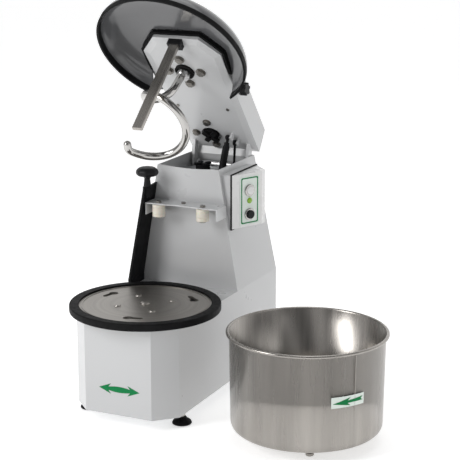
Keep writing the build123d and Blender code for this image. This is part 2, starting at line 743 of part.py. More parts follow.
def head_shell():
    """Hood of the head."""
    outer = prism(head_outline(0), HEAD_BOTTOM + 9, HEAD_TOP)
    outer = fillet(outer.edges().filter_by(Axis.Z).group_by(Axis.Y)[0], 14)
    outer -= tail_cut(0)
    outer = fillet(outer.faces().sort_by(Axis.Z)[-1].edges(), 10)
    inner = prism(head_outline(SHEET), HEAD_BOTTOM + 8, HEAD_TOP - SHEET) - tail_cut(SHEET)
    inner = fillet(inner.faces().sort_by(Axis.Z)[-1].edges(), 8)
    knobs = rod(4.5, (-150, KNOB_Y, KNOB_Z), (150, KNOB_Y, KNOB_Z))
    return outer - inner - knobs


def head_frame():
    """Steel plate in the head with the two hinge arms and the anchors of spring and stay."""
    frame = prism(head_outline(8, back=440), HEAD_BOTTOM + 9, HEAD_BOTTOM + 17)
    frame -= disc(24, 620, 660, SPIRAL_X, SPIRAL_Y)
    frame -= disc(30, 620, 660, DRIVE_X, DRIVE_Y)
    return frame


def head_anchors():
    """Ball stud of the gas spring and clevis pin of the stay, under the head."""
    y, z = SPRING_TOP
    ball = block(SPRING_X + 9, SPRING_X + 14, y - 8, y + 8, z - 7, HEAD_BOTTOM)
    ball += rod(3, (SPRING_X + 1, y, z), (SPRING_X + 12, y, z))
    ball += Pos(SPRING_X, y, z) * Sphere(5)
    y, z = STAY_TOP
    clevis = rod(3, (STAY_X - 5, y, z), (STAY_X + 9, y, z))
    clevis += block(STAY_X + 6, STAY_X + 10, y - 7, y + 7, z - 6, HEAD_BOTTOM)
    return group([ball, clevis])


def hinge_arms():
    """Arms that turn on the hinge pin, with a web between them, and the anchors of spring and stay."""
    arms = []
    for x in (-91, 82):
        outline = [(424, 627), (452, 627), (464, 611), (492, 601), (498, 588), (492, 574), (476, 573), (450, 592)]
        arm = side_plate(outline, x, x + 9)
        arms.append(arm - rod(10 + RUN, (x - 1, HINGE_Y, HINGE_Z), (x + 10, HINGE_Y, HINGE_Z)))
    outline = [(453, 628), (456.5, 629), (467, 612), (484, 604), (484, 601), (464, 608.6)]
    web = side_plate(outline, -82, 82)
    return group([arms[0] + web + arms[1], head_anchors()])


def head_bolts():
    """Bolts on the underside: four round the spiral, four round the dog, two small ones."""
    bolts = []
    for k in range(4):
        px, py = polar(49, 90 * k, SPIRAL_X, SPIRAL_Y)
        bolts.append(bolt_down(px, py, HEAD_BOTTOM, 11.5, 6, 2.5))
        px, py = polar(49, 90 * k, DRIVE_X + 2, DRIVE_Y - 6)
        if k != 0:
            bolts.append(bolt_down(px, py, HEAD_BOTTOM, 10, 5.5, 2))
    for x, y in ((-86, 270), (69, 273)):
        bolts.append(bolt_down(x, y, HEAD_BOTTOM, 5, 3))
    return group(bolts)


def head_bearings():
    """Bearing housings of the spiral and of the upper dog's shaft."""
    first = ring(44, 14 + RUN, HEAD_BOTTOM + 17, HEAD_BOTTOM + 45, SPIRAL_X, SPIRAL_Y)
    second = ring(40, 12 + RUN, HEAD_BOTTOM + 17, HEAD_BOTTOM + 42, DRIVE_X, DRIVE_Y)
    return group([first, second])


def head_belt():
    """Belt from the upper dog's shaft to the spiral."""
    return belt(BELT_HEAD, (DRIVE_X, DRIVE_Y, HEAD_PULLEY_R), (SPIRAL_X, SPIRAL_Y, SPIRAL_PULLEY_R))


def upper_dog():
    """Upper half of the coupling, on its short shaft with the head's drive pulley."""
    claws = dog(HEAD_BOTTOM - 5.5, False)
    shaft = disc(12, HEAD_BOTTOM + 5, BELT_HEAD + 10, DRIVE_X, DRIVE_Y)
    return claws + shaft + pulley(HEAD_PULLEY_R, BELT_HEAD, DRIVE_X, DRIVE_Y, 12)


def spiral_shaft():
    """Spiral's shaft, hub and pulley."""
    shaft = disc(14, 606, BELT_HEAD + 11, SPIRAL_X, SPIRAL_Y)
    hub = turned([(0, 604), (17, 604), (19, 608), (19, 621), (0, 621)], SPIRAL_X, SPIRAL_Y)
    return shaft + hub + pulley(SPIRAL_PULLEY_R, BELT_HEAD, SPIRAL_X, SPIRAL_Y, 14)


def spiral_seal():
    """Rubber lip seal round the spiral's shaft."""
    shape = [(19.3, 627), (19.3, 622), (24, 619), (28, 622), (28, 627)]
    return turned(shape, SPIRAL_X, SPIRAL_Y)


def spiral_path():
    """Centre line of the spiral: a shank, a bend outwards, most of a turn of helix, an upturned tip."""
    points = [(-5, 0, 603.2), (-9, 0, 572), (-16, 0, 545), (-42, 2, 523)]
    first = 184
    last = 530
    steps = 12
    for k in range(steps + 1):
        angle = first + (last - first) * k / steps
        x, y = polar(SPIRAL_R, angle)
        points.append((x, y, 514 - 162 * k / steps))
    x, y = polar(SPIRAL_R - 2, 541)
    points.append((x, y, 362))
    return [(x + SPIRAL_X, y + SPIRAL_Y, z) for x, y, z in points]


def bend_radii(points):
    """Largest tangent arc for each corner of a path."""
    radii = []
    for before, here, after in zip(points, points[1:], points[2:]):
        run_in = Vector(*here) - Vector(*before)
        run_out = Vector(*after) - Vector(*here)
        turn = radians(run_in.get_angle(run_out))
        radii.append(0.45 * min(run_in.length, run_out.length) / tan(turn / 2))
    return radii


def spiral_tool():
    """Kneading spiral, bent from round bar."""
    points = spiral_path()
    path = FilletPolyline(*points, radius=bend_radii(points))
    start = Plane(origin=path @ 0, z_dir=path % 0)
    bar = sweep(start * Circle(SPIRAL_ROD_R), path=path)
    return bar - disc(30, 603.9, 640, SPIRAL_X, SPIRAL_Y)


def breaker_bar():
    """Flat bar at the middle of the bowl that the dough is cut against."""
    bar = block(-13, 15, -7, 4, 327, HEAD_BOTTOM)
    return fillet(bar.edges().filter_by(Axis.Z), 1.5)


def bar_mount():
    """Clamp block of the breaker bar."""
    mount = block(-19, 21, -11, 14, HEAD_BOTTOM - 14, HEAD_BOTTOM + 5) - head_plate()
    return mount - block(-13, 15, -7, 4, 600, HEAD_BOTTOM)


def lid_profile(inset):
    """Half section of the dished lid, as (radius, height)."""
    points = []
    for r in (LID_R, 209, 204, 197, 186, 165, 130, 80):
        share = (1 - (r / (LID_R + 0.01)) ** 5) ** 0.45
        points.append((r - inset, LID_Z + (LID_CROWN - LID_Z) * share - inset))
    return points


def lid_dish(above, below):
    """Dish that follows the lid's skin, from a height above it to a height below it."""
    outer = lid_profile(-above)
    inner = lid_profile(below)
    outline = outer + [(0, LID_CROWN + above), (0, LID_CROWN - below)] + list(reversed(inner))
    return turned(outline)


def lid_shell():
    """Smoked lid: a shallow dish cut out round the head, with a tab on each side."""
    dish = lid_dish(0, 3) - prism(head_outline(-8, back=600), 500, 720)
    for side in (-1, 1):
        x = side * (HEAD_HALF + 4.5)
        tab = block(x - 2.5, x + 2.5, 128, 222, 634, 664)
        dish += tab - rod(5, (x - 4, KNOB_Y, KNOB_Z), (x + 4, KNOB_Y, KNOB_Z))
    return dish


def lid_edge():
    """Hoop of trim on the lid's edge."""
    trim = [(LID_R - 6, LID_Z - 4), (LID_R, LID_Z - 4), (LID_R, LID_Z + 8), (LID_R - 6, LID_Z + 14)]
    hoop = turned(trim) - lid_dish(0, 3)
    return hoop - prism(head_outline(-8, back=600), 500, 720)


def lid_gasket():
    """Black rubber band between the lid and the head."""
    band = prism(head_outline(-8, back=600), HEAD_BOTTOM + 6, 720) - prism(head_outline(0), 600, 730)
    band -= block(-200, 200, 127, 700, 600, 730)
    return band & lid_dish(7, 14)


def lid_trim():
    """Black rubber of the lid: its edge trim and its band round the head."""
    return group([lid_edge(), lid_gasket()])


def lid_knob(side):
    """Lobed clamping knob at one end of the lid."""
    x = side * (HEAD_HALF + 7.5)
    y, z = KNOB_Y, KNOB_Z
    knob = rod(14, (x, y, z), (x + side * 18, y, z))
    for k in range(6):
        angle = radians(60 * k)
        cy, cz = y + 14 * cos(angle), z + 14 * sin(angle)
        knob += rod(4.5, (x, cy, cz), (x + side * 18, cy, cz))
    return knob + rod(4, (x - side * 18, y, z), (x + side * 2, y, z))


# ---------------------------------------------------------------- gas spring and stay
def spring_points():
    """Both ends of the gas spring with the head raised."""
    y, z = lift_point(*SPRING_TOP)
    return Vector(SPRING_X, y, z), Vector(SPRING_X, *SPRING_LOW)


SPRING_BODY = 130.0


def gas_cylinder():
    """Pressure tube of the gas spring, with its socket on the head's ball."""
    top, low = spring_points()
    along = (low - top).normalized()
    tube = rod(10, tuple(top + along * 26), tuple(top + along * SPRING_BODY))
    tube += rod(7.6, tuple(top + along * 16), tuple(top + along * 28))
    tube -= rod(6.5, tuple(top + along * 24.5), tuple(top + along * (SPRING_BODY - 6)))
    tube -= rod(4 + RUN, tuple(top + along * 40), tuple(top + along * (SPRING_BODY + 5)))
    neck = rod(4, tuple(top + along * 6), tuple(top + along * 18))
    cup = Pos(*top) * Sphere(8.5)
    cup -= Pos(*top) * Sphere(5 + RUN)
    cup -= block(SPRING_X + 2, SPRING_X + 20, top.Y - 12, top.Y + 12, top.Z - 12, top.Z + 12)
    return tube + neck + cup


def gas_rod():
    """Piston rod of the gas spring, with a wide eye round the column's pin."""
    top, low = spring_points()
    along = (top - low).normalized()
    stem = rod(4, tuple(low + along * 12), tuple(low + along * 119))
    piston = rod(6.3, tuple(low + along * 119), tuple(low + along * 125))
    eye = rod(15, (SPRING_X - 5, low.Y, low.Z), (SPRING_X + 5, low.Y, low.Z))
    return stem + piston + eye - rod(11, (SPRING_X - 6, low.Y, low.Z), (SPRING_X + 6, low.Y, low.Z))


def stay_rod():
    """Stay that stops the head's lift: an eye on the head and a collar below its guide."""
    y, z = lift_point(*STAY_TOP)
    top = Vector(STAY_X, y, z)
    low = Vector(STAY_X, *STAY_LOW)
    along = (low - top).normalized()
    stem = rod(3.5, tuple(top + along * 5), tuple(top + along * 205))
    collar = rod(8, tuple(top + along * 188), tuple(top + along * 196))
    eye = rod(8, (STAY_X - 4, y, z), (STAY_X + 4, y, z))
    return stem + collar + eye - rod(3 + RUN, (STAY_X - 6, y, z), (STAY_X + 6, y, z))


# ---------------------------------------------------------------- every piece, by node
STILL = {
    "base_shell": base_shell, "column_shell": column_shell, "rear_cover": rear_cover,
    "cover_screws": cover_screws, "chassis": chassis, "column_crown": column_crown,
    "hinge_pin": hinge_pin, "rubber_feet": rubber_feet, "foot_studs": foot_studs,
    "lock_post": lock_post, "rest_knob": rest_knob, "roller_bracket": roller_bracket,
    "roller_pins": roller_pins, "control_box": control_box, "control_gasket": control_gasket,
    "control_mount": control_mount, "control_label": control_label, "switch_collars": switch_collars,
    "pilot_lamp": pilot_lamp, "cable_gland": cable_gland, "motor_housing": motor_housing,
    "motor_rotor": motor_rotor, "main_shaft": main_shaft,
    "main_pulleys": main_pulleys, "drive_belts": drive_belts, "cabinet_bearings": cabinet_bearings,
    "spindle_housing": spindle_housing, "bowl_reducer": bowl_reducer, "reducer_input": reducer_input,
    "turntable_plate": turntable_plate, "turntable_ring": turntable_ring,
    "turntable_spindle": turntable_spindle, "turntable_bolts": turntable_bolts, "bowl": bowl,
    "bowl_studs": bowl_studs, "gas_cylinder": gas_cylinder, "gas_rod": gas_rod, "stay_rod": stay_rod,
}
ON_HEAD = {
    "head_shell": head_shell, "head_plate": head_plate, "head_frame": head_frame,
    "hinge_arms": hinge_arms, "head_bolts": head_bolts,
    "head_bearings": head_bearings, "head_belt": head_belt, "upper_dog": upper_dog,
    "spiral_shaft": spiral_shaft, "spiral_seal": spiral_seal, "spiral_tool": spiral_tool,
    "breaker_bar": breaker_bar, "bar_mount": bar_mount, "lid_shell": lid_shell, "lid_trim": lid_trim,
}


def all_pieces():
    """Every piece in the machine's frame, at rest: head raised, bowl on the floor."""
    pieces = {name: make() for name, make in STILL.items()}
    for side, name in ((-1, "left"), (1, "right")):
        pieces["roller_" + name] = roller(side * ROLLER_X)
        pieces["lid_knob_" + name] = lifted(lid_knob(side))
    pieces["lower_dog"] = dog(602, True)
    pieces["start_button"] = push_button(START_Z, 7)
    pieces["stop_button"] = push_button(STOP_Z, 10)
    for name, make in ON_HEAD.items():
        pieces[name] = lifted(make())
    return pieces


def write_parts():
    """Write one STEP file per node."""
    os.makedirs("parts", exist_ok=True)
    for name, shape in all_pieces().items():
        export_step(Pos(*ORIGIN) * shape, "parts/" + name + ".step")


write_parts()
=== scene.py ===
import json
from math import cos, pi, radians, sin

import bmesh
import bpy
import numpy as np
from bpy.props import FloatProperty, FloatVectorProperty, PointerProperty
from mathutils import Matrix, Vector


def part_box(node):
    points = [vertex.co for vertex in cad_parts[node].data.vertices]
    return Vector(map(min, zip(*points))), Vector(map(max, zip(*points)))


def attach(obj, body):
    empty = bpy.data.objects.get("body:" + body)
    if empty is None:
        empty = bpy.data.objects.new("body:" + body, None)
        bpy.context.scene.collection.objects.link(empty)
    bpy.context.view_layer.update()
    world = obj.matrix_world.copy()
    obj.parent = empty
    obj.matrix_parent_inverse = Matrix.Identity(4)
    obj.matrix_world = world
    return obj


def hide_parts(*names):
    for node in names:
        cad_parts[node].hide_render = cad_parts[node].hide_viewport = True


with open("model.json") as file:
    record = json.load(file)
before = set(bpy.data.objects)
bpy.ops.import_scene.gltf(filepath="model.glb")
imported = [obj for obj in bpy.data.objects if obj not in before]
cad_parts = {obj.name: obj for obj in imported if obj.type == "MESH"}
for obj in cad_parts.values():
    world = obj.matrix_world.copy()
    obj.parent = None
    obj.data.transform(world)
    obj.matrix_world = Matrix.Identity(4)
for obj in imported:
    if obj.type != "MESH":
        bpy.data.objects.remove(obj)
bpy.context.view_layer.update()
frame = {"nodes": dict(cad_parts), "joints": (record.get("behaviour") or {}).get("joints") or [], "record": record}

bl_info = {
    "name": "Spiral Dough Mixer",
    "version": (1, 0, 0),
    "blender": (4, 5, 0),
    "location": "View3D > Sidebar > Mixer",
    "description": "Dresses the mixer's frame with finished pieces, materials, a stage and a camera",
    "category": "Object",
}


# ---------------------------------------------------------------- places read from the frame
def middle(node):
    """Middle of a node's box."""
    low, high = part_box(node)
    return (low + high) / 2


PLATE = middle("turntable_plate")
BOWL = middle("bowl")
TILT = next(j for j in frame["joints"] if j["name"] == "head_tilt")
HINGE = Vector(TILT["pos_m"])
LIFT = radians(TILT["range_deg"][1])
LABEL = middle("control_label")
PUSH = next(j for j in frame["joints"] if j["name"] == "start_push")
LABEL_OUT = -Vector(PUSH["axis"])
LABEL_ALONG = Vector((-LABEL_OUT.y, LABEL_OUT.x, 0))

# Radii and heights in metres.
BOWL_FOOT = 0.197              # outside of the bowl's floor
BOWL_TOP = 0.2015              # outside of its wall at the rolled edge
BOWL_BEAD = 0.205              # middle of the rolled edge
BOWL_FLARE = 0.0045            # how much the wall widens from foot to top
RING_INSIDE = 0.1781
RING_OUTSIDE = 0.204
RING_SKIRT = 0.1962            # inside of the ring below its lip
RING_LIP = 0.0045              # thickness of that lip
ROLLER_BORE = 0.00405
ROLLER_FACE = 0.018
ROLLER_GROOVE = 0.0168         # at the bottom of a groove
# Millimetres. Heights are from the ground, with the head lowered.
BOWL_UNDER = 25                # underside of the bowl
BOWL_TALL = 257.5              # from there to the middle of the rolled edge
BOWL_ROUND = 201.0             # radius at which lengths round the bowl are taken
ARROW_BACK = -157.02           # back of the nose arrow, 0.02 in front of the base
LID_EDGE = 588                 # height of the lid's edge
LID_RISE = 68                  # from there to the lid's top
LID_RADIUS = 211.2
SPIRAL_RADIUS = 74.2           # of the bar's middle
SPIRAL_TOP = 514               # height at which the helix starts
SPIRAL_DROP = 162              # how far it falls


def placed(points):
    """Points given in millimetres from the turntable's axis on the floor, moved into the frame."""
    return np.asarray(points, float) / 1000 + np.array([PLATE.x, PLATE.y, 0.0])


def lifted(points):
    """Points of the lowered head, in the same millimetres, turned about the hinge until it is raised."""
    p = placed(points)
    y = p[..., 1] - HINGE.y
    z = p[..., 2] - HINGE.z
    return np.stack([p[..., 0], HINGE.y + y * cos(LIFT) + z * sin(LIFT),
                     HINGE.z - y * sin(LIFT) + z * cos(LIFT)], -1)


def on_label(spot, along, out, up):
    """Points in metres from a spot: along the switch label's face, out of it, and upwards."""
    return (np.array(spot) + np.asarray(along)[..., None] * np.array(LABEL_ALONG)
            + np.asarray(out)[..., None] * np.array(LABEL_OUT)
            + np.asarray(up)[..., None] * np.array((0, 0, 1)))


# ---------------------------------------------------------------- sizes and colours to change
class MixerSizes(bpy.types.PropertyGroup):
    """Sizes of the finished pieces."""
    bowl_wall: FloatProperty(name="Bowl wall", description="Thickness of the bowl's sheet",
                             default=0.0015, min=0.0005, max=0.003, unit="LENGTH")
    bead: FloatProperty(name="Bowl bead", description="Radius of the rolled edge of the bowl",
                        default=0.0045, min=0.002, max=0.0045, unit="LENGTH")
    spiral_bar: FloatProperty(name="Spiral bar", description="Radius of the spiral's bar",
                              default=0.0108, min=0.008, max=0.011, unit="LENGTH")
    lid_sheet: FloatProperty(name="Lid sheet", description="Thickness of the lid",
                             default=0.003, min=0.002, max=0.004, unit="LENGTH")
    mark: FloatProperty(name="Mark thickness", description="Thickness of the printed marks",
                        default=0.0003, min=0.0001, max=0.001, unit="LENGTH")


class MixerColours(bpy.types.PropertyGroup):
    """Colours of the finishes."""
    paint: FloatVectorProperty(name="Paint", description="Powder coat of the casings", subtype="COLOR",
                               default=(0.56, 0.565, 0.57), min=0, max=1)
    lid: FloatVectorProperty(name="Lid", description="Smoked plastic of the lid", subtype="COLOR",
                             default=(0.095, 0.096, 0.1), min=0, max=1)
    rubber: FloatVectorProperty(name="Rubber", description="Rubber of ring, trim and feet", subtype="COLOR",
                                default=(0.006, 0.006, 0.0065), min=0, max=1)
    steel: FloatVectorProperty(name="Steel", description="Stainless steel of bowl and turntable",
                               subtype="COLOR", default=(0.33, 0.312, 0.29), min=0, max=1)
    nylon: FloatVectorProperty(name="Nylon", description="Rollers that steady the bowl", subtype="COLOR",
                               default=(0.78, 0.73, 0.63), min=0, max=1)
    green: FloatVectorProperty(name="Green", description="Printed arrows and label border", subtype="COLOR",
                               default=(0.0, 0.2, 0.055), min=0, max=1)


# ---------------------------------------------------------------- mesh helpers
def grid_piece(name, grid, body, material, close_u=True, close_v=True, smooth=True):
    """Mesh whose vertex (i, j) is grid[i, j], with a quad between each four neighbours."""
    nu, nv = grid.shape[:2]
    i = np.arange(nu if close_u else nu - 1)
    j = np.arange(nv if close_v else nv - 1)
    a, b = np.meshgrid(i, j, indexing="ij")
    c, d = (a + 1) % nu, (b + 1) % nv
    quads = np.stack([a * nv + b, c * nv + b, c * nv + d, a * nv + d], -1).reshape(-1, 4)
    mesh = bpy.data.meshes.new(name)
    mesh.from_pydata(grid.reshape(-1, 3).tolist(), [], quads.tolist())
    bm = bmesh.new()
    bm.from_mesh(mesh)
    bmesh.ops.remove_doubles(bm, verts=bm.verts, dist=2e-6)
    bmesh.ops.recalc_face_normals(bm, faces=bm.faces)
    bm.to_mesh(mesh)
    bm.free()
    mesh.polygons.foreach_set("use_smooth", np.full(len(mesh.polygons), smooth))
    piece = bpy.data.objects.new(name, mesh)
    bpy.context.scene.collection.objects.link(piece)
    mesh.materials.append(material)
    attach(piece, body)
    return piece


def rounded(corners, radius, steps=5, closed=False):
    """Polyline with each corner swapped for a quadratic curve that starts and ends radius away from it,
    or 0.45 of the shorter neighbouring side if that is less."""
    p = np.asarray(corners, float)
    before = np.roll(p, 1, 0)
    after = np.roll(p, -1, 0)
    back = before - p
    ahead = after - p
    lb = np.linalg.norm(back, axis=1)
    la = np.linalg.norm(ahead, axis=1)
    reach = np.minimum(radius, 0.45 * np.minimum(lb, la))
    first = p + back * (reach / np.maximum(lb, 1e-9))[:, None]
    last = p + ahead * (reach / np.maximum(la, 1e-9))[:, None]
    t = np.linspace(0, 1, steps)[None, :, None]
    curve = (1 - t) ** 2 * first[:, None] + 2 * t * (1 - t) * p[:, None] + t ** 2 * last[:, None]
    if closed:
        return curve.reshape(-1, p.shape[1])
    return np.concatenate([p[:1], curve[1:-1].reshape(-1, p.shape[1]), p[-1:]])


def turned(profile, centre, count=96):
    """Profile of (radius, height) carried round an upright axis: x and y are the radius times the
    cosine and sine of the angle."""
    profile = np.asarray(profile, float)
    angle = np.linspace(0, 2 * pi, count, endpoint=False)[:, None]
    r = profile[None, :, 0]
    z = np.broadcast_to(profile[None, :, 1], (count, len(profile)))
    return np.stack([centre[0] + r * np.cos(angle), centre[1] + r * np.sin(angle), z], -1)


def plate(outline, low, high, bevel):
    """Flat piece: the outline drawn in by the bevel at the bottom and top, full size between, and
    closed at its middle."""
    outline = np.asarray(outline, float)
    centre = outline.mean(0)
    size = np.abs(outline - centre).max()
    share = np.array([0.0, 1 - bevel / size, 1.0, 1.0, 1 - bevel / size, 0.0])
    height = np.array([low, low, low + bevel, high - bevel, high, high])
    flat = centre + (outline[:, None] - centre) * share[None, :, None]
    tall = np.broadcast_to(height[None, :, None], flat.shape[:2] + (1,))
    return np.concatenate([flat, tall], -1)


def shut(loop):
    """Row of closed sections with its first and last rows repeated as points at their middles."""
    ends = [np.repeat(loop[k:k + 1].mean(1, keepdims=True), loop.shape[1], 1) for k in (0, -1)]
    return np.concatenate([ends[0], loop, ends[1]])


def round_tube(path, radius, spokes, cap=6):
    """Circle carried along a path. Each ring's first spoke is the given direction made square to the path; the
    start closes flat and the far end in a quarter circle."""
    run = np.gradient(path, axis=0)
    run /= np.linalg.norm(run, axis=1)[:, None]
    turn = np.linspace(0, pi / 2, cap)
    tail = path[-1] + run[-1] * radius * np.sin(turn)[:, None]
    centre = np.concatenate([path[:1], path, tail[1:]])
    along = np.concatenate([run[:1], run, np.repeat(run[-1:], cap - 1, 0)])
    side = np.concatenate([spokes[:1], spokes, np.repeat(spokes[-1:], cap - 1, 0)])
    size = np.concatenate([[0.0], np.full(len(path), radius), radius * np.cos(turn[1:])])
    side = side - (side * along).sum(1)[:, None] * along
    side /= np.linalg.norm(side, axis=1)[:, None]
    other = np.cross(along, side)
    angle = np.linspace(0, 2 * pi, 40, endpoint=False)[None, :, None]
    ring = np.cos(angle) * side[:, None] + np.sin(angle) * other[:, None]
    return centre[:, None] + size[:, None, None] * ring


# ---------------------------------------------------------------- material helpers
class Finish:
    """A procedural material under construction: a Principled shader and its pattern nodes."""

    def __init__(self, name, colour, rough, metal=0.0, **sockets):
        self.material = bpy.data.materials.new(name)
        self.material.use_nodes = True
        self.tree = self.material.node_tree
        self.shader = self.tree.nodes["Principled BSDF"]
        self.colour = tuple(colour) + (1.0,)
        self.rough = rough
        self.shader.inputs["Base Color"].default_value = self.colour
        self.shader.inputs["Roughness"].default_value = rough
        self.shader.inputs["Metallic"].default_value = metal
        for key, value in sockets.items():
            self.shader.inputs[key.replace("_", " ")].default_value = value
        self.place = self.tree.nodes.new("ShaderNodeTexCoord").outputs["Object"]
        self.last_bump = None

    def link(self, source, target):
        self.tree.links.new(source, target)

    def stretched(self, scale, centre=(0, 0, 0), turn=(0, 0, 0)):
        """Object coordinates centred, turned and scaled."""
        shift = self.tree.nodes.new("ShaderNodeVectorMath")
        shift.operation = "SUBTRACT"
        shift.inputs[1].default_value = centre
        self.link(self.place, shift.inputs[0])
        mapping = self.tree.nodes.new("ShaderNodeMapping")
        mapping.inputs["Rotation"].default_value = turn
        self.link(shift.outputs[0], mapping.inputs["Vector"])
        stretch = self.tree.nodes.new("ShaderNodeVectorMath")
        stretch.operation = "MULTIPLY"
        stretch.inputs[1].default_value = scale
        self.link(mapping.outputs["Vector"], stretch.inputs[0])
        return stretch.outputs[0]

    def noise(self, vector, scale, detail=4.0, rough=0.55):
        node = self.tree.nodes.new("ShaderNodeTexNoise")
        node.inputs["Scale"].default_value = scale
        node.inputs["Detail"].default_value = detail
        node.inputs["Roughness"].default_value = rough
        self.link(vector, node.inputs["Vector"])
        return node.outputs["Fac"]

    def rings(self, centre, fine):
        """Noise along the distance from an upright axis, as a lathe leaves."""
        moved = self.stretched((1, 1, 0), centre)
        length = self.tree.nodes.new("ShaderNodeVectorMath")
        length.operation = "LENGTH"
        self.link(moved, length.inputs[0])
        node = self.tree.nodes.new("ShaderNodeTexNoise")
        node.noise_dimensions = "1D"
        node.inputs["Scale"].default_value = fine
        node.inputs["Detail"].default_value = 6.0
        self.link(length.outputs["Value"], node.inputs["W"])
        return node.outputs["Fac"]

    def spread(self, value, low, high):
        """Noise value mapped from its usual 0.3 to 0.7 onto low to high."""
        node = self.tree.nodes.new("ShaderNodeMapRange")
        node.inputs["From Min"].default_value = 0.3
        node.inputs["From Max"].default_value = 0.7
        node.inputs["To Min"].default_value = low
        node.inputs["To Max"].default_value = high
        self.link(value, node.inputs["Value"])
        return node.outputs["Result"]

    def tone(self, value, amount):
        """Colour a little darker and lighter with the value."""
        ramp = self.tree.nodes.new("ShaderNodeValToRGB")
        dark = [c * (1 - amount) for c in self.colour[:3]]
        light = [min(1.0, c * (1 + amount)) for c in self.colour[:3]]
        ramp.color_ramp.elements[0].position = 0.3
        ramp.color_ramp.elements[1].position = 0.7
        ramp.color_ramp.elements[0].color = (*dark, 1)
        ramp.color_ramp.elements[1].color = (*light, 1)
        self.link(value, ramp.inputs["Fac"])
        self.link(ramp.outputs["Color"], self.shader.inputs["Base Color"])

    def sheen(self, value, amount):
        """Roughness that varies with the value."""
        self.link(self.spread(value, max(0.02, self.rough - amount), self.rough + amount),
                  self.shader.inputs["Roughness"])

    def bump(self, value, depth, strength=1.0):
        """Relief of the given depth in metres, on top of any relief before it."""
        node = self.tree.nodes.new("ShaderNodeBump")
        node.inputs["Strength"].default_value = strength
        node.inputs["Distance"].default_value = depth
        self.link(value, node.inputs["Height"])
        if self.last_bump:
            self.link(self.last_bump, node.inputs["Normal"])
        self.last_bump = node.outputs["Normal"]
        self.link(self.last_bump, self.shader.inputs["Normal"])


MATERIALS = {}


